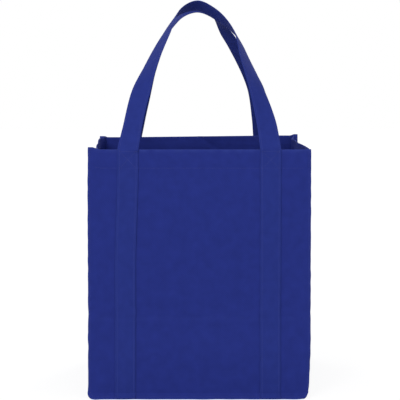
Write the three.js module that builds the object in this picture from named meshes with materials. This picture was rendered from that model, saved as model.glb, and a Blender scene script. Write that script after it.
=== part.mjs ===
// Non-woven polypropylene tote bag, open at the top, standing on z = 0.
// Millimetres, +Z up, the front faces -Y.
import * as THREE from "three";

// Driving dimensions
const rimHeight = 381;
const halfDepth = 127;
const seamHalfWidth = 160;
const baseSpread = 3;
const seamLift = 7.2;
const cornerRadius = 4;
const clothThickness = 0.8;
const hemGap = 0.4;
const pieceGap = 0.3;
const hemDepth = 32;
const sideFin = 6;
const baseFin = 8;
const finFlare = THREE.MathUtils.degToRad(45);
const creaseHeight = 124;
const creaseDepth = 3.2;
const bellyDepth = 1.2;
const gussetFold = 2;
const strapWidth = 30;
const strapThickness = 1.6;
const strapX = 106.5;
const backStrapOutset = 7;
const frontStrapSplay = 6;
const loopTop = 595;
const loopTopY = -15.5;
const loopSteps = 44;
const boardLength = 304;
const boardDepth = 226;
const boardThickness = 2;
const boardCorner = 6;

// Distances that follow from them
const patternHeight = rimHeight - seamLift;
const foldRadius = (clothThickness + hemGap) / 2;
const foldStart = patternHeight - foldRadius - clothThickness / 2;
const hemEnd = patternHeight - hemDepth;
const layerStep = clothThickness + pieceGap;
const straight = seamHalfWidth - cornerRadius;
const finEdge = seamHalfWidth + cornerRadius;

// Cross rows from the bottom fin to the hem, and columns from the middle to the side seam, on the cut pattern.
const cornerRows = [0, cornerRadius / 2, cornerRadius];
const wallRows = [12, 30, 62, 95, 110, 117, 124, 140, 178, 230, 284, 316, 334];
const hemRows = [hemEnd, (hemEnd + foldStart) / 2, foldStart];
const panelRows = [-cornerRadius, ...cornerRows, ...wallRows, ...hemRows];
const bottomColumns = [18, 45, 70, 91, 106, 121, 136, 149, straight, straight + cornerRadius / 2];
const wallColumns = [-121, -114, -92, -60, -30, 0, 30, 60, 92, 114, 121];

// How far the rim stands up at each panel's side seams, and how far from the seam that reaches.
const frontShape = { leftPeak: 3.4, leftReach: 9, rightPeak: 0, rightReach: 9 };
const backShape = { leftPeak: 4.5, leftReach: 30, rightPeak: 1.5, rightReach: 9 };
const levelShape = { leftPeak: 0, leftReach: 9, rightPeak: 0, rightReach: 9 };

// How far each gusset leans in at the rim: bow over the whole depth, swing one way in front and back behind.
const leftGusset = { bow: -3.5, swing: 1 };
const rightGusset = { bow: -0.5, swing: -3.5 };

const blueCloth = new THREE.MeshStandardMaterial({ color: 0x27327b, roughness: 0.86, metalness: 0 });
const strapCloth = new THREE.MeshStandardMaterial({ color: 0x2a367d, roughness: 0.84, metalness: 0 });
const boardPlastic = new THREE.MeshStandardMaterial({ color: 0x20222b, roughness: 0.6, metalness: 0 });

const ease = (value, from, to) => THREE.MathUtils.smoothstep(value, from, to);

// The panel sinks in along the crease where the bag was folded flat, and bellies out a little below it.
function panelSink(x, height) {
  const middle = 1 - Math.pow(Math.min(Math.abs(x) / seamHalfWidth, 1), 4);
  const below = ease(height, 40, creaseHeight);
  const above = 1 - ease(height, creaseHeight, creaseHeight + 190);
  const crease = height < creaseHeight ? below : above;
  const belly = ease(height, 20, 70) * (1 - ease(height, 70, creaseHeight));
  return middle * (creaseDepth * crease - bellyDepth * belly);
}

// The side seams spread toward the base and are nipped where the crease meets them.
function seamSpread(height) {
  const nip = 1.3 * Math.exp(-Math.pow((height - creaseHeight) / 9, 2));
  return 1 + (baseSpread * (1 - height / rimHeight) - nip) / seamHalfWidth;
}

// The rim stands up a little at the seams, where the layers are thick.
function rimPeak(shape, x, height) {
  const left = shape.leftPeak * ease(-x, seamHalfWidth - shape.leftReach, seamHalfWidth);
  const right = shape.rightPeak * ease(x, seamHalfWidth - shape.rightReach, seamHalfWidth);
  return (left + right) * ease(height, 300, rimHeight);
}

// Places a pattern spot on the front panel. One corner radius of pattern past the seam stands for the whole fin.
function panelSpot(shape, patternX, patternZ) {
  const side = patternX < 0 ? -1 : 1;
  const across = (Math.abs(patternX) - straight) / cornerRadius;
  const down = (cornerRadius - patternZ) / cornerRadius;
  const eighth = Math.PI / 4;
  let turn = 0;
  let reach = across;
  if (down > 0 && across <= 0) {
    turn = 2 * eighth;
    reach = down;
  } else if (down > 0) {
    turn = across >= down ? (eighth * down) / across : 2 * eighth - (eighth * across) / down;
    reach = Math.max(across, down);
  }
  const inside = Math.min(reach, 1) * cornerRadius;
  let x = patternX;
  let z = patternZ;
  if (down <= 0) {
    x = side * (straight + inside);
  } else if (across <= 0) {
    z = cornerRadius - inside;
  } else {
    x = side * (straight + inside * Math.cos(turn));
    z = cornerRadius - inside * Math.sin(turn);
  }
  const height = z + seamLift;
  const share = turn / (2 * eighth);
  const flare = finFlare * ease(share, 0, 1);
  const finWidth = sideFin + (baseFin - sideFin) * share;
  const outX = side * Math.cos(turn);
  const outZ = -Math.sin(turn);
  const spot = new THREE.Vector3(
    x * seamSpread(height),
    panelSink(x, height) - halfDepth,
    height + rimPeak(shape, x, height),
  );
  const outward = new THREE.Vector3(outX * Math.cos(flare), -Math.sin(flare), outZ * Math.cos(flare));
  const behind = new THREE.Vector3(outX * Math.sin(flare), Math.cos(flare), outZ * Math.sin(flare));
  return { spot, outward, behind, reach, share, finWidth };
}

// A spot on the panel, moved out along the fin and off to one side of the cloth.
function onPanel(shape, patternX, patternZ, offset) {
  const { spot, outward, behind, reach, finWidth } = panelSpot(shape, patternX, patternZ);
  const away = new THREE.Vector3(0, 1, 0);
  if (reach > 1) {
    away.copy(behind);
  } else if (reach === 1) {
    away.add(behind).normalize();
  }
  return spot.addScaledVector(outward, Math.max(reach - 1, 0) * finWidth).addScaledVector(away, offset);
}

function triangleMesh(name, corners, material) {
  const geometry = new THREE.BufferGeometry();
  const positions = new Float32Array(corners.length * 3);
  corners.forEach((corner, index) => corner.toArray(positions, index * 3));
  geometry.setAttribute("position", new THREE.BufferAttribute(positions, 3));
  geometry.computeVertexNormals();
  const mesh = new THREE.Mesh(geometry, material);
  mesh.name = name;
  return mesh;
}

// Adds one four-cornered face as two triangles.
function addFace(corners, a, b, c, d) {
  corners.push(a, b, c, a, c, d);
}

// The direction square to a grid of spots, evenly averaged from the faces around each one.
function gridNormals(grid) {
  const normals = grid.map((row) => row.map(() => new THREE.Vector3()));
  for (let i = 0; i < grid.length - 1; i += 1) {
    for (let j = 0; j < grid[0].length - 1; j += 1) {
      const one = new THREE.Vector3().subVectors(grid[i + 1][j + 1], grid[i][j]);
      const two = new THREE.Vector3().subVectors(grid[i + 1][j], grid[i][j + 1]);
      const normal = one.cross(two).normalize();
      [[i, j], [i + 1, j], [i, j + 1], [i + 1, j + 1]].forEach(([row, column]) => {
        normals[row][column].add(normal);
      });
    }
  }
  normals.forEach((row) => row.forEach((normal) => normal.normalize()));
  return normals;
}

// Gives a grid of spots the thickness of the cloth and closes it along its four edges.
function clothSheet(name, grid) {
  const normals = gridNormals(grid);
  const shifted = (amount) =>
    grid.map((row, i) => row.map((spot, j) => spot.clone().addScaledVector(normals[i][j], amount)));
  const upper = shifted(clothThickness / 2);
  const lower = shifted(-clothThickness / 2);
  const corners = [];
  const rows = grid.length - 1;
  const columns = grid[0].length - 1;
  for (let i = 0; i < rows; i += 1) {
    for (let j = 0; j < columns; j += 1) {
      addFace(corners, upper[i][j], upper[i][j + 1], upper[i + 1][j + 1], upper[i + 1][j]);
      addFace(corners, lower[i][j], lower[i + 1][j], lower[i + 1][j + 1], lower[i][j + 1]);
    }
    addFace(corners, upper[i][0], upper[i + 1][0], lower[i + 1][0], lower[i][0]);
    addFace(corners, upper[i][columns], lower[i][columns], lower[i + 1][columns], upper[i + 1][columns]);
  }
  for (let j = 0; j < columns; j += 1) {
    addFace(corners, upper[0][j], lower[0][j], lower[0][j + 1], upper[0][j + 1]);
    addFace(corners, upper[rows][j], upper[rows][j + 1], lower[rows][j + 1], lower[rows][j]);
  }
  return triangleMesh(name, corners, blueCloth);
}

// Joins four-cornered sections into one closed strap.
function strapBody(name, sections) {
  const corners = [];
  for (let i = 0; i < sections.length - 1; i += 1) {
    for (let j = 0; j < 4; j += 1) {
      const next = (j + 1) % 4;
      addFace(corners, sections[i][j], sections[i][next], sections[i + 1][next], sections[i + 1][j]);
    }
  }
  const first = sections[0];
  const last = sections[sections.length - 1];
  addFace(corners, first[3], first[2], first[1], first[0]);
  addFace(corners, last[0], last[1], last[2], last[3]);
  return triangleMesh(name, corners, strapCloth);
}

// The hem past the rim: pattern row, how far it has turned inward and how high it has risen.
function hemSteps() {
  const turn = [45, 90, 135, 180].map((degrees) => {
    const angle = THREE.MathUtils.degToRad(degrees);
    return { z: foldStart, inward: foldRadius * (1 - Math.cos(angle)), rise: foldRadius * Math.sin(angle) };
  });
  const inner = [hemRows[1], hemRows[0]].map((z) => ({ z, inward: 2 * foldRadius, rise: 0 }));
  return [...turn, ...inner];
}

// Front or back panel: one sheet with a seam fin on three edges and a hem turned in along the rim.
function makePanel(name, shape) {
  const half = [...bottomColumns, seamHalfWidth, finEdge];
  const columns = [...[...half].reverse().map((x) => -x), ...half];
  const flat = panelRows.map((z) => columns.map((x) => onPanel(shape, x, z, 0)));
  const hem = hemSteps().map(({ z, inward, rise }) =>
    columns.map((x) => onPanel(shape, x, z, 0).add(new THREE.Vector3(0, inward, rise))));
  return clothSheet(name, [...flat, ...hem]);
}

// How far the gusset's seam allowance lies behind the panel: further where both hems lie between.
function flangeOffset(patternZ, share) {
  const pastHems = (2 * foldRadius + layerStep) * ease(patternZ, 312, 334);
  const roundCorner = 2.4 * share * (1 - share);
  return layerStep + pastHems + roundCorner;
}

// One spot of the gusset's wall: it bows toward the rim and keeps the fold from lying flat.
function wallSpot(patternX, patternZ, y) {
  const left = patternX < 0;
  const inward = left ? 1 : -1;
  const frontPeak = left ? frontShape.leftPeak : frontShape.rightPeak;
  const backPeak = left ? backShape.rightPeak : backShape.leftPeak;
  const lean = left ? leftGusset : rightGusset;
  const along = (y + halfDepth) / (2 * halfDepth);
  const { spot } = panelSpot(levelShape, patternX, patternZ);
  const bow = lean.bow * Math.sin(Math.PI * along) + lean.swing * Math.sin(2 * Math.PI * along);
  const fold = gussetFold * Math.max(1 - Math.abs(y) / 60, 0) * ease(spot.z, halfDepth - 10, halfDepth + 30);
  const floorHeight = clothThickness / 2;
  const rise = (seamLift - 1.4 - floorHeight) * ease(Math.abs(y), halfDepth - 13, halfDepth - 1.5);
  const share = (spot.z - seamLift) / patternHeight;
  const peak = frontPeak * (1 - ease(y + halfDepth, 0, 16)) + backPeak * (1 - ease(halfDepth - y, 0, 16));
  const z = (floorHeight + rise) * (1 - share) + rimHeight * share + peak * ease(spot.z, 300, rimHeight);
  return new THREE.Vector3(spot.x + inward * (bow * ease(spot.z, 60, rimHeight) + fold), y, z);
}

// One seam side of a gusset row: fin tip, fin root, the bend and the start of the wall.
function seamBend(shape, patternX, patternZ, hem) {
  const { spot, outward, behind, share, finWidth } = panelSpot(shape, patternX, patternZ);
  const offset = flangeOffset(patternZ, share) - hem;
  const place = (along, away) =>
    spot.clone().addScaledVector(outward, along).addScaledVector(behind, away);
  return [
    place(finWidth, offset),
    place(1 - 0.2 * hem, offset),
    place(0.3 - 0.7 * hem, offset + 0.3 + 0.3 * hem),
    place(-hem, offset + 1 + hem),
  ];
}

function turnedRound(spot) {
  return new THREE.Vector3(-spot.x, -spot.y, spot.z);
}

// One row of the gusset from the front fin to the back fin, moved inward and up where it is hem.
function gussetRow(patternX, patternZ, inward, rise) {
  const front = seamBend(frontShape, patternX, patternZ, inward);
  const back = seamBend(backShape, -patternX, patternZ, inward).map(turnedRound).reverse();
  const wall = wallColumns.map((y) => {
    const spot = wallSpot(patternX, patternZ, y);
    return spot.setX(spot.x - Math.sign(patternX) * inward);
  });
  return [...front, ...wall, ...back].map((spot) => spot.setZ(spot.z + rise));
}

// Side, bottom and side in one strip, its long edges turned out against the panels, its ends hemmed.
function makeGusset() {
  const up = [...cornerRows, ...wallRows, ...hemRows];
  const half = (side) => [
    ...bottomColumns.map((x) => gussetRow(side * x, 0, 0, 0)),
    ...up.map((z) => gussetRow(side * seamHalfWidth, z, 0, 0)),
    ...hemSteps().map(({ z, inward, rise }) => gussetRow(side * seamHalfWidth, z, inward, rise)),
  ];
  return clothSheet("gusset_strip", [...half(-1).reverse(), ...half(1)]);
}

// A strap section lying on the outside of the panel.
function sectionOnPanel(shape, centreX, patternZ, side) {
  const near = -(clothThickness / 2 + pieceGap);
  const far = near - strapThickness;
  const edges = [-side, side].map((edge) => centreX + (edge * strapWidth) / 2);
  return [
    onPanel(shape, edges[0], patternZ, far),
    onPanel(shape, edges[1], patternZ, far),
    onPanel(shape, edges[1], patternZ, near),
    onPanel(shape, edges[0], patternZ, near),
  ];
}

// The free loop above the rim. Its points give x, height and twist, and it leans in toward the other loop.
function loopSections(points) {
  const footY = -(halfDepth + clothThickness / 2 + pieceGap + strapThickness / 2);
  const leanAt = (z) => Math.pow(THREE.MathUtils.clamp((z - rimHeight) / (loopTop - rimHeight), 0, 1), 1.15);
  const spots = points.map(([x, z]) => new THREE.Vector3(x, footY + (loopTopY - footY) * leanAt(z), z));
  const turns = points.map(([, , twist], index) => new THREE.Vector3(index, twist, 0));
  const path = new THREE.CatmullRomCurve3(spots, false, "centripetal");
  const twists = new THREE.CatmullRomCurve3(turns, false, "centripetal");
  const acrossLoop = new THREE.Vector3(0, loopTop - rimHeight, footY - loopTopY).normalize();
  const sections = [];
  for (let i = 1; i < loopSteps; i += 1) {
    const centre = path.getPoint(i / loopSteps);
    const tangent = path.getTangent(i / loopSteps);
    const square = acrossLoop.clone().addScaledVector(tangent, -acrossLoop.dot(tangent)).normalize();
    const inPlane = new THREE.Vector3().crossVectors(square, tangent);
    const twist = THREE.MathUtils.degToRad(twists.getPoint(i / loopSteps).y);
    const wide = inPlane.multiplyScalar(Math.cos(twist)).addScaledVector(square, Math.sin(twist));
    const face = new THREE.Vector3().crossVectors(wide, tangent);
    const corner = (a, b) => centre.clone()
      .addScaledVector(wide, (a * strapWidth) / 2)
      .addScaledVector(face, (b * strapThickness) / 2);
    sections.push([corner(-1, 1), corner(1, 1), corner(1, -1), corner(-1, -1)]);
  }
  return sections;
}

// One handle: a strap from the bottom seam up the panel, over in a loop and down to the bottom seam.
function makeHandle(name, shape, points, splay) {
  const left = points[0][0];
  const right = points[points.length - 1][0];
  const leftAt = (z) => left - splay * (1 - z / patternHeight);
  const up = panelRows.map((z) => sectionOnPanel(shape, leftAt(z), z, 1));
  const down = [...panelRows].reverse().map((z) => sectionOnPanel(shape, right, z, -1));
  return strapBody(name, [...up, ...loopSections(points), ...down]);
}

// A loose stiffener with rounded corners that lies on the bottom.
function makeBaseBoard() {
  const x = boardLength / 2 - boardCorner;
  const y = boardDepth / 2 - boardCorner;
  const quarter = Math.PI / 2;
  const outline = new THREE.Shape();
  outline.absarc(x, -y, boardCorner, -quarter, 0, false);
  outline.absarc(x, y, boardCorner, 0, quarter, false);
  outline.absarc(-x, y, boardCorner, quarter, 2 * quarter, false);
  outline.absarc(-x, -y, boardCorner, 2 * quarter, 3 * quarter, false);
  outline.closePath();
  const settings = { depth: boardThickness, bevelEnabled: false, curveSegments: 4 };
  const geometry = new THREE.ExtrudeGeometry(outline, settings);
  const mesh = new THREE.Mesh(geometry, boardPlastic);
  mesh.name = "base_board";
  mesh.position.z = clothThickness + pieceGap;
  return mesh;
}

// The back pieces are made as front ones and turned half round.
function turnedToBack(mesh) {
  mesh.rotation.z = Math.PI;
  return mesh;
}

// x, height and twist in degrees of each handle's centre line from its left foot to its right foot.
const frontLoop = [
  [-strapX, rimHeight, 0],
  [-99.5, 418, -18],
  [-90, 460, -18],
  [-75, 502, -43],
  [-53, 549, -57],
  [-31, 586, -78],
  [-3, loopTop + 1.5, -91],
  [24, 583.6, -94],
  [54, 553.3, -81],
  [71.5, 511, -54],
  [87, 469, -38],
  [100.5, 420, -14],
  [strapX, rimHeight, 0],
];
const backLoop = [
  [-strapX, rimHeight, 0],
  [-103.5, 414, -5],
  [-93.5, 463, -24],
  [-68.5, 512, -42],
  [-46, 548.5, -46],
  [-23.5, 579.2, -75],
  [0, loopTop - 1.6, -90],
  [24, 587.4, -90],
  [44, 565.2, -82],
  [63, 534, -60],
  [84, 488, -40],
  [100, 438, -10],
  [strapX + backStrapOutset, rimHeight, 0],
];

const bag = new THREE.Group();
bag.name = "non_woven_tote_bag";
bag.add(makePanel("front_panel", frontShape));
bag.add(turnedToBack(makePanel("back_panel", backShape)));
bag.add(makeGusset());
bag.add(makeHandle("front_handle", frontShape, frontLoop, frontStrapSplay));
bag.add(turnedToBack(makeHandle("back_handle", backShape, backLoop, 0)));
bag.add(makeBaseBoard());

export default bag;
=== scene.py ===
import bpy
import numpy as np
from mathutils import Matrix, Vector


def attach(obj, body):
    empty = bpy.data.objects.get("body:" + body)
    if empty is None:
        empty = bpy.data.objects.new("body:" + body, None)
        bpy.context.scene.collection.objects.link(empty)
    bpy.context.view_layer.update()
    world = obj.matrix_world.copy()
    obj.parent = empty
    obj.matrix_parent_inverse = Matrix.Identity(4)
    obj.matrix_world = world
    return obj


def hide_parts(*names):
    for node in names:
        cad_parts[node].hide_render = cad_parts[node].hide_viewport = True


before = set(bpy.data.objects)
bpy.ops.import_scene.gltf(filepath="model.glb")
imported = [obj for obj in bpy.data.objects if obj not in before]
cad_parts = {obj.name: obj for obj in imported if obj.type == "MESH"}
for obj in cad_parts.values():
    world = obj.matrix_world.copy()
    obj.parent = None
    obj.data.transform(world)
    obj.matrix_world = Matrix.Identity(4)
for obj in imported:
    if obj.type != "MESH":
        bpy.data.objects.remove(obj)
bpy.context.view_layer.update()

# Lengths are in millimetres until a mesh is made. Back pieces are made like front ones and turned half round.
bag = {
    "rimHeight": 381.0,
    "halfDepth": 127.0,
    "seamHalfWidth": 160.0,
    "baseSpread": 3.0,  # the side seams stand this much wider at the base
    "seamLift": 7.2,  # height of the bottom seam
    "cornerRadius": 4.0,
    "clothThickness": 0.6,
    "hemRadius": 0.6,  # of the turn at the rim
    "hemDepth": 32.0,
    "hemStitch": 4.0,  # from the free edge of the hem
    "hemPinch": 0.5,  # how much thinner the hem is at its stitch row
    "hemPuff": 0.5,  # and how much thicker above it
    "turnDrop": 0.4,  # the turn at the rim starts this much lower than its radius
    "sideFin": 6.8,  # seam allowance left standing out
    "baseFin": 10.4,
    "finFlare": 48.0,  # degrees that the bottom fin leans forward
    "finRagged": 0.22,  # unevenness of the fins' cut edge
    "finWaver": 0.55,  # unevenness of the way they lean
    "creaseHeight": 124.0,  # where the bag was folded when it was packed flat
    "creaseDepth": 3.2,
    "creaseReach": 190.0,  # how far above the crease the panel is still drawn in
    "creaseNip": 0.7,  # how much the sides pull in just above the crease
    "bellyDepth": 1.2,
    "bellyHeight": 70.0,
    "liftFrom": 300.0,  # the rim's raised corners lift the cloth from here up
    "spreadFrom": 335.0,  # the fins change their width near the rim between these heights
    "spreadTo": 378.0,
    "nipAbove": 9.0,  # from the packing crease up to where the sides pull in most
    "nipReach": 7.0,
    "cornerReach": 6.0,  # how far the bottom corners' own fin width runs along the straight edges
}
halfDepth = bag["halfDepth"]
sideSeam = bag["seamHalfWidth"]
patternHeight = bag["rimHeight"] - bag["seamLift"]
foldStart = patternHeight - bag["hemRadius"] - bag["turnDrop"]
hemEnd = patternHeight - bag["hemDepth"]
hemRow = hemEnd + bag["hemStitch"]
hemHeight = hemRow + bag["seamLift"]
straight = sideSeam - bag["cornerRadius"]
insideSeam = np.array([1.3, 2.6])  # pattern steps from the corner's middle towards a seam
onFin = np.arange(5.0)  # and from the seam to the fin's edge

# How far each panel's rim stands up at its corners, how much it climbs from right to left, how much wider its
# fins are near the rim, how much narrower at the foot of the right side, how much wider round the bottom
# corners, how deep a small fold dents the rim and where, and the seed of its own unevenness. The back panel's
# left is the bag's right.
levelShape = {
    "leftPeak": 0.0, "leftReach": 9.0, "rightPeak": 0.0, "rightReach": 9.0, "climb": 0.0,
    "leftSpread": 0.0, "rightSpread": 0.0, "rightTrim": 0.0, "leftCorner": 0.0, "rightCorner": 0.0,
    "rimFold": 0.0, "foldX": 0.0, "seed": 5,
}
frontShape = {
    **levelShape, "leftPeak": 3.4, "leftReach": 13.0, "rightPeak": 0.5, "rightReach": 6.0,
    "leftSpread": -0.6, "rightTrim": 2.6, "leftCorner": 1.3, "rightCorner": -2.0, "seed": 11,
}
backShape = {
    **levelShape, "leftPeak": 2.3, "leftReach": 6.0, "rightPeak": 1.8, "rightReach": 5.0,
    "climb": 2.9, "leftSpread": -0.8, "rightSpread": 1.9,
    "rimFold": -2.6, "foldX": -5.0, "seed": 47,
}


def smooth(value, start, end):
    share = np.clip((value - start) / (end - start), 0, 1)
    return share * share * (3 - 2 * share)


def unit(vectors):
    return vectors / np.linalg.norm(vectors, axis=-1, keepdims=True)


def stack(x, y, z):
    return np.stack(np.broadcast_arrays(x, y, z), -1).astype(float)


def turnRound(vectors):
    return vectors * np.array([-1.0, -1.0, 1.0])


# Smooth unevenness of about unit height, from a few crossing waves
def wander(x, z, wavelength, seed, waves=7):
    rng = np.random.default_rng(seed)
    total = np.zeros(np.broadcast(x, z).shape)
    for _ in range(waves):
        angle, phase = rng.uniform(0, 2 * np.pi, 2)
        length = wavelength * rng.uniform(0.7, 1.5)
        total += np.sin(2 * np.pi * (x * np.cos(angle) + z * np.sin(angle)) / length + phase)
    return total / np.sqrt(waves)


def ridge(distance, width):
    return np.exp(-np.abs(distance) / width)


# How far the panel sinks in: the packing crease with a slight belly below it
def panelSink(x, height):
    middle = 1 - np.minimum(np.abs(x) / sideSeam, 1) ** 4
    crease = bag["creaseHeight"]
    fullest = bag["bellyHeight"]
    below = smooth(height, 40, crease)
    above = 1 - smooth(height, crease, crease + bag["creaseReach"])
    belly = smooth(height, fullest - 50, fullest) * (1 - smooth(height, fullest, crease))
    sink = np.where(height < crease, below, above)
    return middle * (bag["creaseDepth"] * sink - bag["bellyDepth"] * belly)


relief = {
    "broad": 0.75,  # slack waves about a hand wide
    "broadLength": 120.0,
    "medium": 0.2,
    "mediumLength": 38.0,
    "creaseSharp": 0.7,
    "creaseWidth": 2.4,
    "stitchDip": 0.35,
    "dipWidth": 2.6,
    "hemLean": 1.0,  # the cloth leaves the stiff hem outwards
    "leanStart": 190.0,
    "leanHeight": 318.0,  # where it stands out most
    "stiffFrom": 335.0,  # the hem holds the cloth flat from here up
    "stiffTo": 352.0,
    "pucker": 0.3,  # along the sewn edges
    "hemPucker": 0.12,
    "foldSlope": 1.4,  # how far the small fold across the rim moves sideways as it climbs
    "foldWidth": 6.8,  # along the rim
}


# Finer unevenness on top of the main form, inward positive
def panelRelief(shape, x, height):
    seed = shape["seed"]
    stiffFrom, stiffTo = relief["stiffFrom"], relief["stiffTo"]
    inside = np.clip(1 - (np.abs(x) / sideSeam) ** 8, 0, 1) * smooth(height, 8, 40)
    limp = 1 - 0.75 * smooth(height, stiffFrom, stiffTo)
    broad = relief["broad"] * wander(x, height * 0.55, relief["broadLength"], seed)
    medium = relief["medium"] * wander(x, height, relief["mediumLength"], seed + 1)
    line = bag["creaseHeight"] + 0.7 * wander(x, 0, 120, seed + 2)
    crease = relief["creaseSharp"] * ridge(height - line, relief["creaseWidth"])
    dip = relief["stitchDip"] * np.exp(-((height - hemHeight) / relief["dipWidth"]) ** 2)
    rising = smooth(height, relief["leanStart"], relief["leanHeight"])
    lean = -relief["hemLean"] * rising * (1 - smooth(height, relief["leanHeight"], stiffTo))
    edge = sideSeam - np.abs(x)
    pucker = relief["pucker"] * ridge(edge, 8) * smooth(edge, 0, 4) * wander(height, 0, 15, seed + 3)
    hemPucker = relief["hemPucker"] * ridge(height - (stiffTo - 2), 7) * wander(x, 0, 12, seed + 4)
    fromFold = x - shape["foldX"] - relief["foldSlope"] * (height - (bag["rimHeight"] - 4))
    fold = shape["rimFold"] * ridge(fromFold, relief["foldWidth"]) * smooth(height, 355, 368)
    return inside * ((broad + medium) * limp + crease + dip + lean + pucker + hemPucker + fold)


def rimPeak(shape, x):
    left = shape["leftPeak"] * smooth(-x, sideSeam - shape["leftReach"], sideSeam)
    right = shape["rightPeak"] * smooth(x, sideSeam - shape["rightReach"], sideSeam)
    return left + right + shape["climb"] * np.clip((120 - x) / 250, 0, 1)


# Places pattern spots on the front panel. The pattern's last four millimetres, a corner radius past the seam,
# stand for the whole fin.
def panelSpot(shape, patternX, patternZ):
    patternX, patternZ = np.broadcast_arrays(np.asarray(patternX, float), np.asarray(patternZ, float))
    rimHeight, seed, radius = bag["rimHeight"], shape["seed"], bag["cornerRadius"]
    side = np.where(patternX < 0, -1.0, 1.0)
    across = (np.abs(patternX) - straight) / radius
    down = (radius - patternZ) / radius
    eighth = np.pi / 4
    nearSide = eighth * down / np.maximum(across, 1e-6)
    nearBase = 2 * eighth - eighth * across / np.maximum(down, 1e-6)
    corner = np.where(across >= down, nearSide, nearBase)
    turn = np.where(down <= 0, 0, np.where(across <= 0, 2 * eighth, corner))
    reach = np.where(down <= 0, across, np.where(across <= 0, down, np.maximum(across, down)))
    inside = np.minimum(reach, 1) * radius
    cornerX = np.where(across <= 0, patternX, side * (straight + inside * np.cos(turn)))
    x = np.where(down <= 0, side * (straight + inside), cornerX)
    z = np.where(down <= 0, patternZ, radius - inside * np.where(across <= 0, 1, np.sin(turn)))
    height = z + bag["seamLift"]
    share = turn / (2 * eighth)
    flare = np.radians(bag["finFlare"]) * smooth(share, 0, 1)
    away = smooth(np.maximum(patternZ, straight - np.abs(patternX)), 4, 20)
    ragged = bag["finRagged"] * wander(patternX * 0.6, patternZ, 23, seed + 5) * away * (1 - 0.4 * share)
    onSpread = smooth(height, bag["spreadFrom"], bag["spreadTo"])
    spread = np.where(patternX < 0, shape["leftSpread"], shape["rightSpread"]) * onSpread
    trim = shape["rightTrim"] * (patternX > 0) * (1 - smooth(height, -10, 90)) * (1 - smooth(share, 0.3, 1))
    gap = np.maximum(np.maximum(patternZ - radius, straight - np.abs(patternX)), 0)
    rounding = np.exp(-(gap / bag["cornerReach"]) ** 2) * (0.5 + 0.5 * np.sin(2 * turn) ** 2)
    corners = np.where(patternX < 0, shape["leftCorner"], shape["rightCorner"]) * rounding
    plain = bag["sideFin"] + (bag["baseFin"] - bag["sideFin"]) * share
    lean = bag["finWaver"] * wander(patternX, patternZ * 0.8, 46, seed + 6) * away * (1 - 0.55 * share)
    aboveCrease = height - bag["creaseHeight"] - bag["nipAbove"]
    nip = bag["creaseNip"] * np.exp(-(aboveCrease / bag["nipReach"]) ** 2)
    widen = 1 + (bag["baseSpread"] * (1 - height / rimHeight) - nip) / sideSeam
    peak = rimPeak(shape, x) * smooth(height, bag["liftFrom"], rimHeight)
    sink = panelSink(x, height) + panelRelief(shape, x, height)
    outX = side * np.cos(turn)
    outZ = -np.sin(turn)
    return {
        "spot": stack(x * widen, sink - halfDepth, height + peak),
        "outward": stack(outX * np.cos(flare), -np.sin(flare), outZ * np.cos(flare)),
        "behind": stack(outX * np.sin(flare), np.cos(flare), outZ * np.sin(flare)),
        "reach": reach,
        "share": share,
        "finWidth": plain + ragged + spread - trim + corners,
        "lean": lean,
    }


# A spot on the panel, moved out along the fin and off to one side of the cloth
def onPanel(shape, patternX, patternZ, offset):
    at = panelSpot(shape, patternX, patternZ)
    reach = at["reach"][..., None]
    plain = np.array([0.0, 1.0, 0.0])
    away = np.where(reach > 1.001, at["behind"], np.where(reach > 0.999, unit(plain + at["behind"]), plain))
    past = np.maximum(reach - 1, 0)
    fin = at["outward"] * past * at["finWidth"][..., None]
    wave = past * at["lean"][..., None] * at["behind"]
    return at["spot"] + fin + wave + away * np.asarray(offset)[..., None]


def addObject(name, data):
    made = bpy.data.objects.new(name, data)
    bpy.context.scene.collection.objects.link(made)
    return made


def makeObject(name, spots, faces, edges=()):
    mesh = bpy.data.meshes.new(name)
    mesh.from_pydata((np.asarray(spots).reshape(-1, 3) / 1000).tolist(), list(edges), faces)
    return addObject(name, mesh)


# A sheet of cloth from a grid of spots, with its flat pattern as UV map in metres
def clothSheet(name, spots, flat, wear, material):
    rows, columns = spots.shape[:2]
    first = (np.arange(rows - 1)[:, None] * columns + np.arange(columns - 1)[None, :]).ravel()
    faces = np.stack([first, first + 1, first + columns + 1, first + columns], 1)
    piece = makeObject(name, spots, faces.tolist())
    layer = piece.data.uv_layers.new(name="UVMap")
    layer.data.foreach_set("uv", (flat.reshape(-1, 2)[faces.ravel()] / 1000).ravel())
    worn = piece.data.attributes.new("wear", "FLOAT", "POINT")
    worn.data.foreach_set("value", np.clip(wear, 0, 1).ravel())
    piece.data.shade_smooth()
    piece.data.materials.append(material)
    cloth = piece.modifiers.new("clothThickness", "SOLIDIFY")
    cloth.thickness = bag["clothThickness"] / 1000
    cloth.offset = 0
    return piece


# A polyline mesh with one direction stored at each point, for the node trees below
def pathObject(name, paths):
    spots, edges, count = [], [], 0
    for path, _ in paths:
        spots.append(path)
        edges += [(count + i, count + i + 1) for i in range(len(path) - 1)]
        count += len(path)
    piece = makeObject(name, np.concatenate(spots), [], edges)
    stored = piece.data.attributes.new("face", "FLOAT_VECTOR", "POINT")
    stored.data.foreach_set("vector", np.concatenate([faces for _, faces in paths]).ravel())
    return piece


# Links or sets a node's inputs; a node given as an input stands for its first output
def feed(tree, node, inputs):
    for key, value in inputs.items():
        if isinstance(value, bpy.types.Node):
            value = value.outputs[0]
        if isinstance(value, bpy.types.NodeSocket):
            tree.links.new(value, node.inputs[key])
        else:
            node.inputs[key].default_value = value


# Adds a node of a kind with its inputs and settings
def addNode(tree, kind, inputs=None, **settings):
    node = tree.nodes.new(kind)
    for key, value in settings.items():
        setattr(node, key, value)
    feed(tree, node, inputs or {})
    return node


def linear(code):
    channels = [int(code[i:i + 2], 16) / 255 for i in (1, 3, 5)]
    return [c / 12.92 if c <= 0.04045 else ((c + 0.055) / 1.055) ** 2.4 for c in channels] + [1.0]


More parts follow.
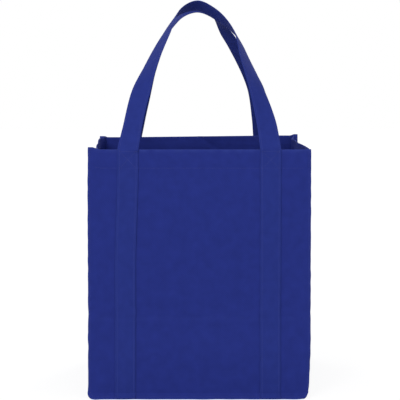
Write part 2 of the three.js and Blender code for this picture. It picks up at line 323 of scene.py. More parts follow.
def newMaterial(name):
    material = bpy.data.materials.new(name)
    material.use_nodes = True
    return material, material.node_tree, material.node_tree.nodes["Principled BSDF"]


# Spunbond polypropylene non-woven: swirled fibres heat-bonded at a lattice of small points. To the eye it is
# a matt, faintly pitted cloth of cloudy density, a little glossier at each bond point, paler on worn folds.
def spunbondCloth(name, finish):
    material, tree, shader = newMaterial(name)
    pattern = addNode(tree, "ShaderNodeUVMap", uv_map="UVMap").outputs["UV"]
    inMillimetres = addNode(tree, "ShaderNodeMapping", {"Vector": pattern, "Scale": (1000, 1000, 1000)})
    slanted = addNode(tree, "ShaderNodeMapping", {"Vector": inMillimetres, "Rotation": (0, 0, 0.785)})
    # Bond points stand 1.3 mm apart on the real cloth; they are drawn at 2.4 mm so that they show
    points = addNode(tree, "ShaderNodeTexVoronoi",
                     {"Vector": slanted, "Scale": 1 / finish["bondPitch"], "Randomness": 0.1},
                     voronoi_dimensions="2D")
    bond = addNode(tree, "ShaderNodeMapRange",
                   {"Value": points.outputs["Distance"], "From Min": finish["bondInner"],
                    "From Max": finish["bondOuter"], "To Min": 1, "To Max": 0},
                   interpolation_type="SMOOTHSTEP")
    fibre = addNode(tree, "ShaderNodeTexNoise",
                    {"Vector": inMillimetres, "Scale": 1 / finish["fibreSize"], "Detail": 3,
                     "Distortion": finish["swirl"]}, noise_dimensions="2D")
    cloud = addNode(tree, "ShaderNodeTexNoise",
                    {"Vector": inMillimetres, "Scale": 1 / finish["cloudSize"], "Detail": 4,
                     "Roughness": 0.6}, noise_dimensions="2D")
    worn = addNode(tree, "ShaderNodeAttribute", attribute_name="wear")
    density = addNode(tree, "ShaderNodeMix", {0: 0.35, 2: cloud.outputs["Fac"], 3: fibre.outputs["Fac"]},
                      data_type="FLOAT")
    spread = addNode(tree, "ShaderNodeMapRange", {"Value": density, "From Min": 0.32, "From Max": 0.68})
    cloth = addNode(tree, "ShaderNodeMix", {0: spread, 6: linear(finish["thin"]), 7: linear(finish["dense"])},
                    data_type="RGBA")
    dot = addNode(tree, "ShaderNodeMath", {0: bond, 1: 0.45}, operation="MULTIPLY")
    dotted = addNode(tree, "ShaderNodeMix", {0: dot, 6: cloth.outputs[2], 7: linear(finish["bond"])},
                     data_type="RGBA")
    paler = addNode(tree, "ShaderNodeMath", {0: worn.outputs["Fac"], 1: 0.5}, operation="MULTIPLY")
    colour = addNode(tree, "ShaderNodeMix", {0: paler, 6: dotted.outputs[2], 7: linear(finish["worn"])},
                     data_type="RGBA")
    gloss = addNode(tree, "ShaderNodeMapRange",
                    {"Value": bond, "To Min": finish["roughness"], "To Max": finish["bondRoughness"]})
    lift = addNode(tree, "ShaderNodeMath", {0: bond, 1: -0.8, 2: fibre.outputs["Fac"]},
                   operation="MULTIPLY_ADD")
    bump = addNode(tree, "ShaderNodeBump", {"Height": lift, "Strength": 0.35, "Distance": 0.0002})
    feed(tree, shader, {"Base Color": colour.outputs[2], "Roughness": gloss, "Normal": bump,
                        "IOR": 1.49, "Specular IOR Level": 0.07})
    return material


# Sizes in millimetres; the bond point's edge is a share of the pitch, and the swirl has no unit
panelFinish = {
    "thin": "#212c75", "dense": "#253180", "bond": "#1d276c", "worn": "#374690",
    "bondPitch": 2.4, "bondInner": 0.2, "bondOuter": 0.36, "fibreSize": 1.6, "swirl": 2.2, "cloudSize": 16.0,
    "roughness": 0.82, "bondRoughness": 0.66,
}
strapFinish = {
    **panelFinish, "thin": "#222e76", "dense": "#263380", "bond": "#1e296d",
    "cloudSize": 12.0, "roughness": 0.8, "bondRoughness": 0.64,
}
panelCloth = spunbondCloth("spunbondPolypropyleneNonWoven", panelFinish)
strapCloth = spunbondCloth("foldedSpunbondPolypropyleneStrap", strapFinish)

thread = {
    "dark": "#1f2c79",
    "pale": "#29378a",
    "bandScale": 260.0,  # plies turn about every 0.5 mm; drawn as bands 0.6 mm wide
    "roughness": 0.55,
}


# Spun polyester sewing thread: soft gloss along a fine twist, slightly lighter than the cloth
def sewingThread(name, finish):
    material, tree, shader = newMaterial(name)
    place = addNode(tree, "ShaderNodeTexCoord").outputs["Object"]
    ply = addNode(tree, "ShaderNodeTexWave",
                  {"Vector": place, "Scale": finish["bandScale"], "Distortion": 1.5},
                  bands_direction="DIAGONAL")
    hue = addNode(tree, "ShaderNodeMix",
                  {0: ply.outputs["Fac"], 6: linear(finish["dark"]), 7: linear(finish["pale"])},
                  data_type="RGBA")
    bump = addNode(tree, "ShaderNodeBump",
                   {"Height": ply.outputs["Fac"], "Strength": 0.3, "Distance": 0.0001})
    feed(tree, shader, {"Base Color": hue.outputs[2], "Roughness": finish["roughness"], "Normal": bump,
                        "IOR": 1.53})
    return material


polyesterThread = sewingThread("spunPolyesterThread", thread)

panel = {
    "columnStep": 3.0,
    "rowStep": 3.0,
    "freeWaver": 0.25,  # unevenness of the hem's free edge
    "sewnDown": 0.42,  # share of the hem's thickness that the side seams press flat
    "creaseWear": 0.3,
    "rimWear": 0.7,
    "finWear": 0.5,
}


def panelGrid():
    middle = np.linspace(-straight, straight, int(2 * straight / panel["columnStep"]) + 1)
    edge = np.concatenate([straight + insideSeam, sideSeam + onFin])
    columns = np.concatenate([-edge[::-1], middle, edge])
    wall = np.linspace(bag["cornerRadius"], foldStart, int(foldStart / panel["rowStep"]))
    rows = np.concatenate([-onFin[::-1], insideSeam, wall])
    return rows, columns


# The hem past the rim: pattern row, how far it is turned in, how high it has risen, how much cloth it took
def hemRows():
    turns = np.radians(np.arange(30, 181, 30))
    radius = bag["hemRadius"]
    turned = [(foldStart, radius * (1 - np.cos(a)), radius * np.sin(a), radius * a) for a in turns]
    flat = np.linspace(foldStart - 1.5, hemEnd, 14)
    pinch = bag["hemPinch"] * np.exp(-((flat - hemRow) / 1.8) ** 2)
    puff = bag["hemPuff"] * np.sin(np.pi * smooth(flat, hemRow, foldStart)) ** 2
    taken = radius * np.pi + foldStart - flat
    laid = [(z, 2 * radius - p + q, 0.0, t) for z, p, q, t in zip(flat, pinch, puff, taken)]
    return np.array(turned + laid)


def makePanel(name, shape):
    rows, columns = panelGrid()
    body = onPanel(shape, columns[None, :], rows[:, None], 0.0)
    row, turnedIn, risen, taken = [part[:, None] for part in hemRows().T]
    turned = onPanel(shape, columns[None, :], row, 0.0)
    waver = panel["freeWaver"] * wander(columns, 0, 40, shape["seed"] + 7)[None, :]
    free = waver * smooth(-row, -hemRow, -hemEnd)
    sewn = 1 - panel["sewnDown"] * smooth(np.abs(columns), sideSeam - 6, sideSeam)[None, :]
    turned = turned + stack(0 * free, turnedIn * sewn + free * (sewn > 0.99), risen * sewn)
    spots = np.concatenate([body, turned])
    # The fins take more cloth than their four millimetres of pattern: six at the sides, eight at the bottom
    past = np.maximum(np.abs(columns) - sideSeam, 0)
    width = np.sign(columns) * (np.minimum(np.abs(columns), sideSeam) + past * 1.5)
    length = np.concatenate([np.where(rows < 0, rows * 2, rows), foldStart + taken[:, 0]])
    flat = np.stack(np.broadcast_arrays(width[None, :], length[:, None]), -1)
    height = rows[:, None] + bag["seamLift"]
    uneven = 0.6 + 0.4 * wander(columns[None, :], height, 17, shape["seed"] + 8)
    wear = panel["creaseWear"] * ridge(height - bag["creaseHeight"], 1.6) * uneven
    onEdge = np.maximum(np.abs(columns)[None, :] - sideSeam, -rows[:, None])
    wear = wear + panel["finWear"] * smooth(onEdge, 2.5, 4)
    wear = wear + panel["rimWear"] * smooth(rows[:, None], foldStart - 5, foldStart) * uneven
    hemWear = panel["rimWear"] * (1 - smooth(taken, 1, 4)) + 0 * columns[None, :]
    return clothSheet(name, spots, flat, np.concatenate([wear, hemWear]), panelCloth)


frontPanel = makePanel("frontPanelCloth", frontShape)
backPanel = makePanel("backPanelCloth", backShape)
backSpots = np.empty(len(backPanel.data.vertices) * 3)
backPanel.data.vertices.foreach_get("co", backSpots)
backPanel.data.vertices.foreach_set("co", turnRound(backSpots.reshape(-1, 3)).ravel())
print("panels", len(frontPanel.data.polygons), "faces each")

gusset = {
    "layerStep": 0.7,  # from one layer to the next where they are sewn together
    "leftBow": 3.5,  # how far out the side wall bows at the rim
    "leftSlant": -15.0,  # and how much further out it lies toward the front than toward the back
    "rightBow": 0.6,
    "rightSlant": 13.0,
    "middleFold": 2.0,  # the upright fold that keeps the sides from lying flat
    "foldSharp": 0.8,
    "diagonalSharp": 0.9,
    "levelSharp": 0.5,
    "broad": 0.8,
    "medium": 0.2,
    "stitchDip": 0.3,
    "foldWear": 0.5,
    "floorHeight": 0.4,  # of the bottom's middle line of cloth
    "ripple": 0.3,  # how far the bottom lifts off here and there
    "wallEdge": 121.0,  # from here to the seams the cloth bends
    "wallColumns": 61,
    "rowStep": 3.6,
    "seed": 83,
}
wallY = np.linspace(-gusset["wallEdge"], gusset["wallEdge"], gusset["wallColumns"])


# How far behind the panel the gusset's seam allowance lies
def flangeOffset(patternZ, share):
    pastHems = 2 * gusset["layerStep"] * smooth(patternZ, 318, 337)
    return gusset["layerStep"] + pastHems + 1.6 * share * (1 - share)


# Distance from the folds that rise at 45 degrees from the bottom corners to the middle of the side
def fromDiagonal(height, y):
    return (np.abs(y) + height - halfDepth) / 1.414


# Folds of the side walls, inward positive: upright middle fold, two slanting ones and a level one
def gussetRelief(height, y, side):
    seed = gusset["seed"] + (0 if side < 0 else 9)
    inside = smooth(halfDepth - np.abs(y), 3, 22)
    middle = gusset["foldSharp"] * ridge(y, 4) * smooth(height, 118, 150)
    slant = gusset["diagonalSharp"] * ridge(fromDiagonal(height, y), 4) * (1 - smooth(height, 120, 132))
    level = gusset["levelSharp"] * ridge(height - halfDepth, 3)
    broad = gusset["broad"] * wander(y, height * 0.6, 95, seed)
    medium = gusset["medium"] * wander(y, height, 34, seed + 1)
    stiff = 1 - 0.7 * smooth(height, relief["stiffFrom"], relief["stiffTo"])
    dip = gusset["stitchDip"] * np.exp(-((height - hemHeight) / relief["dipWidth"]) ** 2)
    return inside * smooth(height, 6, 40) * ((broad + medium) * stiff + middle - slant + level + dip)


# One spot of the gusset's wall, which bows toward the rim
def wallSpot(patternX, patternZ, y):
    left = patternX < 0
    inward = np.where(left, 1.0, -1.0)
    bowSize = np.where(left, gusset["leftBow"], gusset["rightBow"])
    slant = np.where(left, gusset["leftSlant"], gusset["rightSlant"])
    frontPeak = rimPeak(frontShape, patternX)
    backPeak = rimPeak(backShape, -patternX)
    spot = panelSpot(levelShape, patternX, patternZ)["spot"]
    height = spot[..., 2]
    rimHeight, floorHeight = bag["rimHeight"], gusset["floorHeight"]
    along = (y + halfDepth) / (2 * halfDepth)
    free = smooth(along, 0, 0.09) * (1 - smooth(along, 0.88, 1))
    bow = -(bowSize * np.sin(np.pi * along) + slant * (0.5 - along) * free) * smooth(height, 60, rimHeight)
    fold = gusset["middleFold"] * np.maximum(1 - np.abs(y) / 60, 0) * smooth(height, 117, 157)
    onSide = smooth(patternZ, 0, 14)
    detail = gussetRelief(height, y, -1) * left + gussetRelief(height, y, 1) * ~left
    rise = (bag["seamLift"] - 1.4 - floorHeight) * smooth(np.abs(y), halfDepth - 13, halfDepth - 1.5)
    share = (height - bag["seamLift"]) / patternHeight
    peak = frontPeak * (1 - smooth(y + halfDepth, 0, 16)) + backPeak * (1 - smooth(halfDepth - y, 0, 16))
    lift = peak * smooth(height, bag["liftFrom"], rimHeight)
    z = (floorHeight + rise) * (1 - share) + rimHeight * share + lift
    swell = 1 - np.exp(-wander(patternX, y, 60, gusset["seed"] + 4) ** 2)
    ripple = gusset["ripple"] * swell * (1 - onSide) * smooth(halfDepth - np.abs(y), 4, 30)
    return stack(spot[..., 0] + inward * (bow + fold + detail * onSide), y, z + ripple)


# One seam side of the gusset: fin tip, fin root, the bend and the start of the wall
def seamBend(shape, patternX, patternZ, hem):
    at = panelSpot(shape, patternX, patternZ)
    outer = flangeOffset(patternZ, at["share"])
    offset = outer - 0.58 * hem
    width = at["finWidth"] - 0.9 * at["share"]
    steps = [
        (width, offset, 1.0),
        (0.75 * width, offset, 0.75),
        (0.5 * width, offset, 0.5),
        (0.25 * width + 0.3, offset, 0.25),
        (0.8 - 0.2 * hem, offset, 0.1),
        (0.25 - 0.7 * hem, outer + 0.3 - 0.35 * hem, 0.0),
        (-hem, outer + 1, 0.0),
    ]
    places = []
    for along, away, bend in steps:
        along, away = np.asarray(along)[..., None], np.asarray(away)[..., None]
        depth = away + bend * at["lean"][..., None]
        places.append(at["spot"] + at["outward"] * along + at["behind"] * depth)
    return np.stack(places, -2)


def gussetRows(patternX, patternZ, inward, rise):
    front = seamBend(frontShape, patternX, patternZ, inward)
    back = turnRound(seamBend(backShape, -patternX, patternZ, inward))[:, ::-1]
    wall = wallSpot(patternX[:, None], patternZ[:, None] + 0 * wallY[None, :], wallY[None, :])
    wall[..., 0] -= np.sign(patternX)[:, None] * inward[:, None]
    spots = np.concatenate([front, wall, back], 1)
    spots[..., 2] += rise[:, None]
    return spots


# A whole row of values from its right half and the middle one
def mirrored(half, middle=0.0, sign=1):
    return np.concatenate([sign * half[::-1], [middle], half])


def makeGusset(name):
    wallRows = np.linspace(bag["cornerRadius"], foldStart, int(foldStart / gusset["rowStep"]))
    up = np.concatenate([[0], insideSeam, wallRows])
    bottom = np.concatenate([np.linspace(0, straight, 44)[1:], straight + insideSeam])
    row, turnedIn, risen, taken = hemRows().T
    halfX = np.concatenate([bottom, np.full(len(up) + len(row), sideSeam)])
    halfZ = np.concatenate([0 * bottom, up, row])
    inward = np.concatenate([0 * bottom, 0 * up, turnedIn])
    rise = np.concatenate([0 * bottom, 0 * up, risen])
    length = np.concatenate([bottom, sideSeam + up, sideSeam + foldStart + taken])
    patternX = mirrored(halfX, 0.001, -1)
    spots = gussetRows(patternX, mirrored(halfZ), mirrored(inward), mirrored(rise))
    along = mirrored(length, sign=-1)
    flange = np.array([6, 4.5, 3, 1.5, 0.8, 0.2, -0.8])  # cloth past the seam at each step of seamBend
    y = np.concatenate([-halfDepth - flange, wallY, halfDepth + flange[::-1]])
    flat = np.stack(np.broadcast_arrays(along[:, None], y[None, :]), -1)
    height = np.abs(along)[:, None] - sideSeam
    y = y[None, :]
    foldWear = gusset["foldWear"]
    wear = foldWear * ridge(y, 1.6) * smooth(height, 118, 140) + foldWear * ridge(height - halfDepth, 1.6)
    wear = wear + foldWear * ridge(fromDiagonal(height, y), 1.8) * (height > 0) * (height < halfDepth + 1)
    wear = wear + 0.6 * ridge(height - foldStart, 2.5) + 0.4 * smooth(np.abs(y), halfDepth + 4, halfDepth + 6)
    return clothSheet(name, spots, flat, wear, panelCloth)


gussetStrip = makeGusset("gussetCloth")
print("gusset", len(gussetStrip.data.polygons), "faces")

handle = {
    "width": 31.0,
    "thickness": 1.5,
    "footX": 106.5,
    "backOutset": 7.0,
    "frontSplay": 4.2,  # the front strap's left leg stands this much further out below its middle
    "splayFrom": 180.0,
    "splayTo": 360.0,
    "offset": 1.2,  # middle of the strap in front of the middle of the panel
    "top": 595.0,
    "topY": -15.5,
    "lean": 1.15,  # above 1 the loop stands up first and leans to the middle later
    "edgeRow": 12.4,  # stitch rows from the strap's middle line
    "samples": 12,
    "profilePoints": 32,
    "pinch": 0.4,  # share of the thickness lost at the stitch rows
}
# x, height and twist in degrees along each handle's free loop, from its left foot to its right foot
frontLoop = [
    (-106.5, 381, 0), (-99.5, 418, -18), (-90, 460, -18), (-75, 502, -43), (-53, 549, -57),
    (-31, 586, -78), (-3, 596.5, -91), (24, 583.6, -94), (55.2, 553.6, -77), (71.5, 511, -54), (87, 469, -38),
    (100.5, 420, -14), (106.5, 381, 0),
]
backLoop = [
    (-106.5, 381, 0), (-103.5, 414, -5), (-93.5, 463, -24), (-68.5, 512, -42), (-47.2, 548.5, -42),
    (-23.5, 579.2, -75), (0, 593.4, -90), (24, 587.4, -90), (44, 565.2, -82), (63, 534, -60), (84, 488, -40),
    (100, 438, -10), (113.5, 381, 0),
]


# A smooth curve through the points, with knots spaced by the root of their distance
def curveThrough(points, samples):
    points = np.asarray(points, float)
    points = np.concatenate([[2 * points[0] - points[1]], points, [2 * points[-1] - points[-2]]])
    gaps = np.sqrt(np.linalg.norm(np.diff(points, axis=0), axis=1))
    curve = []
    for i in range(1, len(points) - 2):
        a, b, c, d = points[i - 1:i + 3]
        g0, g1, g2 = gaps[i - 1:i + 2]
        start = ((b - a) / g0 - (c - a) / (g0 + g1) + (c - b) / g1) * g1
        end = ((c - b) / g1 - (d - b) / (g1 + g2) + (d - c) / g2) * g1
        t = (np.arange(samples) / samples)[:, None]
        square, cube = 3 * (c - b) - 2 * start - end, 2 * (b - c) + start + end
        curve.append(b + start * t + square * t**2 + cube * t**3)
    return np.concatenate(curve + [points[-2:-1]])


# Middle line and width direction of the strap's free loop
def loopRoute(points):
    footY = -(halfDepth + handle["offset"])
    climb = handle["top"] - bag["rimHeight"]
    spots = []
    for x, z, _ in points:
        share = min(max((z - bag["rimHeight"]) / climb, 0), 1) ** handle["lean"]
        spots.append((x, footY + (handle["topY"] - footY) * share, z))
    centre = curveThrough(spots, handle["samples"])
    twist = curveThrough([(i, p[2], 0) for i, p in enumerate(points)], handle["samples"])[:, 1]
    tangent = unit(np.gradient(centre, axis=0))
    across = unit(np.array([0, climb, footY - handle["topY"]]))
    square = unit(across - tangent * (tangent @ across)[:, None])
    inPlane = np.cross(square, tangent)
    angle = np.radians(twist)[:, None]
    return centre, inPlane * np.cos(angle) + square * np.sin(angle)


# Pattern heights of a strap leg's points, from the bottom fin's edge to the rim
legRows = np.concatenate([-onFin[::-1], [1.5, 3], np.linspace(5, patternHeight - 3, 92)])


# Middle line and width direction of a strap leg on the panel, mostly in front of the highest cloth under it
def legRoute(shape, footX, splay):
    centreX = footX - splay * (1 - smooth(legRows, handle["splayFrom"], handle["splayTo"]))
    half = handle["width"] / 2
    across = np.array([-1, -0.5, 0, 0.5, 1]) * half
    under = onPanel(shape, centreX[:, None] + across[None, :], legRows[:, None], -handle["offset"])
    middle = (under[:, 0] + under[:, -1]) / 2
    middle[:, 1] = under[..., 1].min(1) * 0.7 + middle[:, 1] * 0.3
    return middle, unit(under[:, -1] - under[:, 0])


# The whole strap: bottom seam, up the panel, over in a loop and down again
def strapRoute(shape, points, splay):
    up, upWide = legRoute(shape, points[0][0], splay)
    down, downWide = legRoute(shape, points[-1][0], 0)
    loop, loopWide = loopRoute(points)
    centre = np.concatenate([up, loop, down[::-1]])
    wide = np.concatenate([upWide, loopWide, -downWide[::-1]])
    return centre, unit(wide)


# Runs a node tree on the piece and keeps the result as its mesh
def convert(piece, tree, settings):
    modifier = piece.modifiers.new(tree.name, "NODES")
    modifier.node_group = tree
    for item in tree.interface.items_tree:
        if item.in_out == "INPUT" and item.name in settings:
            modifier[item.identifier] = settings[item.name]
    graph = bpy.context.evaluated_depsgraph_get()
    made = bpy.data.meshes.new_from_object(piece.evaluated_get(graph), depsgraph=graph)
    piece.modifiers.remove(modifier)
    piece.data = made
    made.name = piece.name
    return piece


def newTree(name, **inputs):
    tree = bpy.data.node_groups.new(name, "GeometryNodeTree")
    for label, kind in {"Geometry": "Geometry", **inputs}.items():
        tree.interface.new_socket(label, in_out="INPUT", socket_type="NodeSocket" + kind)
    tree.interface.new_socket("Geometry", in_out="OUTPUT", socket_type="NodeSocketGeometry")
    return tree, addNode(tree, "NodeGroupInput").outputs


def finishTree(tree, geometry, material):
    smoothed = addNode(tree, "GeometryNodeSetShadeSmooth", {"Geometry": geometry})
    real = addNode(tree, "GeometryNodeRealizeInstances", {"Geometry": smoothed})
    finished = addNode(tree, "GeometryNodeSetMaterial", {"Geometry": real, "Material": material})
    addNode(tree, "NodeGroupOutput", {0: finished})


# How the strap's section comes from a circle of radius 1: each row gives a value's name, the operation and
# what goes in. A high power makes flat faces with round edges, and a stitch row is a dip 0.9 mm wide to each
# side. The last three rows mark the outer 0.6 mm as worn; they are read once the section has its real size.
sectionSteps = [
    ("size", "ABSOLUTE", "x"),
    ("steep", "POWER", "size", 12.0),
    ("inside", "SUBTRACT", 1.0001, "steep"),
    ("full", "SQRT", "inside"),
    ("halfWidth", "MULTIPLY", "Width", 0.5),
    ("halfThickness", "MULTIPLY", "Thickness", 0.5),
    ("newX", "MULTIPLY", "x", "halfWidth"),
    ("fromMiddle", "MULTIPLY", "size", "halfWidth"),
    ("fromRow", "SUBTRACT", "fromMiddle", "Row"),
    ("scaled", "DIVIDE", "fromRow", 0.0009),
    ("squared", "MULTIPLY", "scaled", "scaled"),
    ("turned", "MULTIPLY", -1.0, "squared"),
    ("bell", "EXPONENT", "turned"),
    ("dip", "MULTIPLY", "Pinch", "bell"),
    ("kept", "SUBTRACT", 1.0, "dip"),
    ("pinched", "MULTIPLY", "full", "kept"),
    ("height", "MULTIPLY", "pinched", "halfThickness"),
    ("face", "SIGN", "y"),
    ("newY", "MULTIPLY", "face", "height"),
    ("border", "SUBTRACT", "halfWidth", 0.0006),
    ("atEdge", "GREATER_THAN", "size", "border"),
    ("wear", "MULTIPLY", "atEdge", 0.5),
]


# Sweeps a flat strap, pinched at its two stitch rows, along the route; "face" holds its width direction
def strapTree():
    tree, given = newTree("strapAlongPath", Width="Float", Thickness="Float", Pinch="Float", Row="Float",
                          Points="Int", Material="Material")
    line = addNode(tree, "GeometryNodeMeshToCurve", {0: given["Geometry"]})
    wide = addNode(tree, "GeometryNodeInputNamedAttribute", {"Name": "face"}, data_type="FLOAT_VECTOR")
    held = addNode(tree, "GeometryNodeSetCurveNormal", {"Curve": line, "Normal": wide}, mode="FREE")
    length = addNode(tree, "GeometryNodeSplineParameter").outputs["Length"]
    measured = addNode(tree, "GeometryNodeStoreNamedAttribute",
                       {"Geometry": held, "Name": "along", "Value": length}, data_type="FLOAT")
    ring = addNode(tree, "GeometryNodeCurvePrimitiveCircle", {0: given["Points"], "Radius": 1})
    place = addNode(tree, "GeometryNodeInputPosition")
    parts = addNode(tree, "ShaderNodeSeparateXYZ", {0: place}).outputs
    known = dict(given.items())
    known["x"], known["y"] = parts["X"], parts["Y"]
    for name, operation, *values in sectionSteps:
        known[name] = addNode(tree, "ShaderNodeMath",
                              {i: known.get(value, value) for i, value in enumerate(values)},
                              operation=operation)
    spot = addNode(tree, "ShaderNodeCombineXYZ", {"X": known["newX"], "Y": known["newY"]})
    section = addNode(tree, "GeometryNodeSetPosition", {"Geometry": ring, "Position": spot})
    for name, value in (("across", parts["X"]), ("wear", known["wear"])):
        section = addNode(tree, "GeometryNodeStoreNamedAttribute",
                          {"Geometry": section, "Name": name, "Value": value}, data_type="FLOAT")
    swept = addNode(tree, "GeometryNodeCurveToMesh",
                    {"Curve": measured, "Profile Curve": section, "Fill Caps": True})
    across, along = [addNode(tree, "GeometryNodeInputNamedAttribute", {"Name": name}, data_type="FLOAT")
                     for name in ("across", "along")]
    flat = addNode(tree, "ShaderNodeCombineXYZ", {"X": across, "Y": along})
    mapped = addNode(tree, "GeometryNodeStoreNamedAttribute",
                     {"Geometry": swept, "Name": "UVMap", "Value": flat}, data_type="FLOAT2", domain="CORNER")
    finishTree(tree, mapped, given["Material"])
    return tree


# Sets one bead of thread, of slightly varied length, at each stitch; "face" holds the direction off the cloth
def stitchTree():
    tree, given = newTree("stitchesAlongPath", Pitch="Float", Length="Float", Thread="Float", Seed="Int",
                          Material="Material")
    line = addNode(tree, "GeometryNodeMeshToCurve", {0: given["Geometry"]})
    spaced = addNode(tree, "GeometryNodeResampleCurve", {"Curve": line, "Length": given["Pitch"]},
                     mode="LENGTH")
    bead = addNode(tree, "GeometryNodeMeshUVSphere", {"Segments": 6, "Rings": 4, "Radius": 0.5})
    tangent = addNode(tree, "GeometryNodeInputTangent")
    face = addNode(tree, "GeometryNodeInputNamedAttribute", {"Name": "face"}, data_type="FLOAT_VECTOR")
    turn = addNode(tree, "FunctionNodeAxesToRotation", {"Primary Axis": tangent, "Secondary Axis": face},
                   primary_axis="X", secondary_axis="Z")
    vary = addNode(tree, "FunctionNodeRandomValue", {2: 0.85, 3: 1.1, "Seed": given["Seed"]},
                   data_type="FLOAT").outputs[1]
    long = addNode(tree, "ShaderNodeMath", {0: given["Length"], 1: vary}, operation="MULTIPLY")
    low = addNode(tree, "ShaderNodeMath", {0: given["Thread"], 1: 0.7}, operation="MULTIPLY")
    size = addNode(tree, "ShaderNodeCombineXYZ", {"X": long, "Y": given["Thread"], "Z": low})
    placed = addNode(tree, "GeometryNodeInstanceOnPoints",
                     {"Points": spaced, "Instance": bead, "Rotation": turn, "Scale": size})
    finishTree(tree, placed, given["Material"])
    return tree


strapMaker = strapTree()
stitchMaker = stitchTree()


def makeHandle(name, shape, points, splay, turned):
    centre, wide = strapRoute(shape, points, splay)
    if turned:
        centre, wide = turnRound(centre), turnRound(wide)
    route = pathObject(name, [(centre, wide)])
    made = convert(route, strapMaker, {
        "Width": handle["width"] / 1000, "Thickness": handle["thickness"] / 1000, "Pinch": handle["pinch"],
        "Row": handle["edgeRow"] / 1000, "Points": handle["profilePoints"], "Material": strapCloth,
    })
    print(name, "length", round(float(np.linalg.norm(np.diff(centre, axis=0), axis=1).sum())), "mm")
    return made, centre, wide


frontHandle, frontRoute, frontWide = makeHandle(
    "frontHandleStrap", frontShape, frontLoop, handle["frontSplay"], False)
backHandle, backRoute, backWide = makeHandle("backHandleStrap", backShape, backLoop, 0, True)

stitch = {
    "pitch": 3.2,
    "length": 2.5,
    "thread": 0.5,
    "offCloth": 0.08,
    "inFin": 2.0,  # of pattern, from the seam's fold to its stitch line
    "hemFromSeam": 6.0,  # the hem's stitches end this far from the side seams
    "boxTop": 371.0,  # pattern height of the crossed box where each leg leaves the rim
    "boxPuff": 0.3,  # how much further off the panel the hem stands behind the box
}
clothClear = bag["clothThickness"] / 2 + stitch["offCloth"]
strapClear = handle["thickness"] / 2 + stitch["offCloth"]
hemSide = 2 * bag["hemRadius"] - bag["hemPinch"]  # from the panel's cloth to the hem's, at the stitch row


# A row of stitches at an offset from the panel, and the direction off the cloth: -1 outwards, 1 inwards
def pathOn(shape, x, z, offset, towards):
    x, z = np.broadcast_arrays(np.asarray(x, float), np.asarray(z, float))
    at = panelSpot(shape, x, z)
    away = np.where(at["reach"][:, None] > 1, at["behind"], np.array([0.0, 1.0, 0.0]))
    return onPanel(shape, x, z, offset), away * towards


def boxCorners(centreX):
    reach = handle["edgeRow"]
    left, right, low, high = centreX - reach, centreX + reach, hemRow, stitch["boxTop"]
    return [
        [(left, low), (right, low)], [(left, high), (right, high)],
        [(left, low), (right, high)], [(left, high), (right, low)],
    ]


# Every stitch row of one panel: hem, seams and the crossed boxes, seen from outside and from inside
def panelStitches(shape, feet):
    hemStop = sideSeam - stitch["hemFromSeam"]
    beside = handle["width"] / 2 + 0.5
    paths = []
    edges = [-hemStop]
    for foot in feet:
        edges += [foot - beside, foot + beside]
    edges.append(hemStop)
    for start, end in zip(edges[::2], edges[1::2]):
        paths.append(pathOn(shape, np.linspace(start, end, 60), hemRow, -clothClear, -1))
    paths.append(pathOn(shape, np.linspace(2 - hemStop, hemStop - 2, 160), hemRow, hemSide + clothClear, 1))
    fin, low = sideSeam + stitch["inFin"], -stitch["inFin"]
    bottomX = np.linspace(-straight, straight, 160)
    climb = np.linspace(4, 370, 120)
    seamX = np.concatenate([np.full(120, -fin), [-fin, 1 - fin], bottomX, [fin - 1, fin], np.full(120, fin)])
    seamZ = np.concatenate([climb[::-1], [0, low], np.full(160, low), [low, 0], climb])
    paths.append(pathOn(shape, seamX, seamZ, -clothClear, -1))
    share = panelSpot(shape, seamX, seamZ)["share"]
    paths.append(pathOn(shape, seamX, seamZ, flangeOffset(seamZ, share) + clothClear, 1))
    t = np.linspace(0, 1, 12)
    for foot in feet:
        for (x0, z0), (x1, z1) in boxCorners(foot):
            x, z = x0 + (x1 - x0) * t, z0 + (z1 - z0) * t
            paths.append(pathOn(shape, x, z, -(handle["offset"] + strapClear), -1))
            paths.append(pathOn(shape, x, z, 2 * bag["hemRadius"] + stitch["boxPuff"] + clothClear, 1))
    return paths


# Both edge rows of a strap on its outer face, on its inner face where it hangs free, and inside the bag
def strapStitches(centre, wide):
    tangent = unit(np.gradient(centre, axis=0))
    out = unit(np.cross(wide, tangent))
    clear = handle["thickness"] / 2 * (1 - handle["pinch"]) + stitch["offCloth"]
    free = slice(len(legRows), len(centre) - len(legRows))
    paths = []
    for side in (-1, 1):
        row = centre + wide * side * handle["edgeRow"]
        paths.append((row + out * clear, out))
        paths.append((row[free] - out[free] * clear, -out[free]))
        inner = row - out * (handle["offset"] + clothClear)
        low = np.flatnonzero((row[:, 2] > 16) & (row[:, 2] < 350))
        middle = len(row) // 2
        for leg in (low[low < middle], low[low > middle]):
            paths.append((inner[leg], -out[leg]))
    return paths


def gussetStitches():
    y = np.linspace(-116, 116, 90)
    paths = []
    for side in (-1, 1):
        spots = wallSpot(np.full(90, side * sideSeam), np.full(90, hemRow), y)
        outside = stack(np.full(90, float(side)), 0, 0)
        paths.append((spots + outside * clothClear, outside))
        paths.append((spots - outside * (clothClear + hemSide), -outside))
    return paths


def sewRows(name, paths, seed):
    route = pathObject(name, paths)
    return convert(route, stitchMaker, {
        "Pitch": stitch["pitch"] / 1000, "Length": stitch["length"] / 1000, "Thread": stitch["thread"] / 1000,
        "Seed": seed, "Material": polyesterThread,
    })


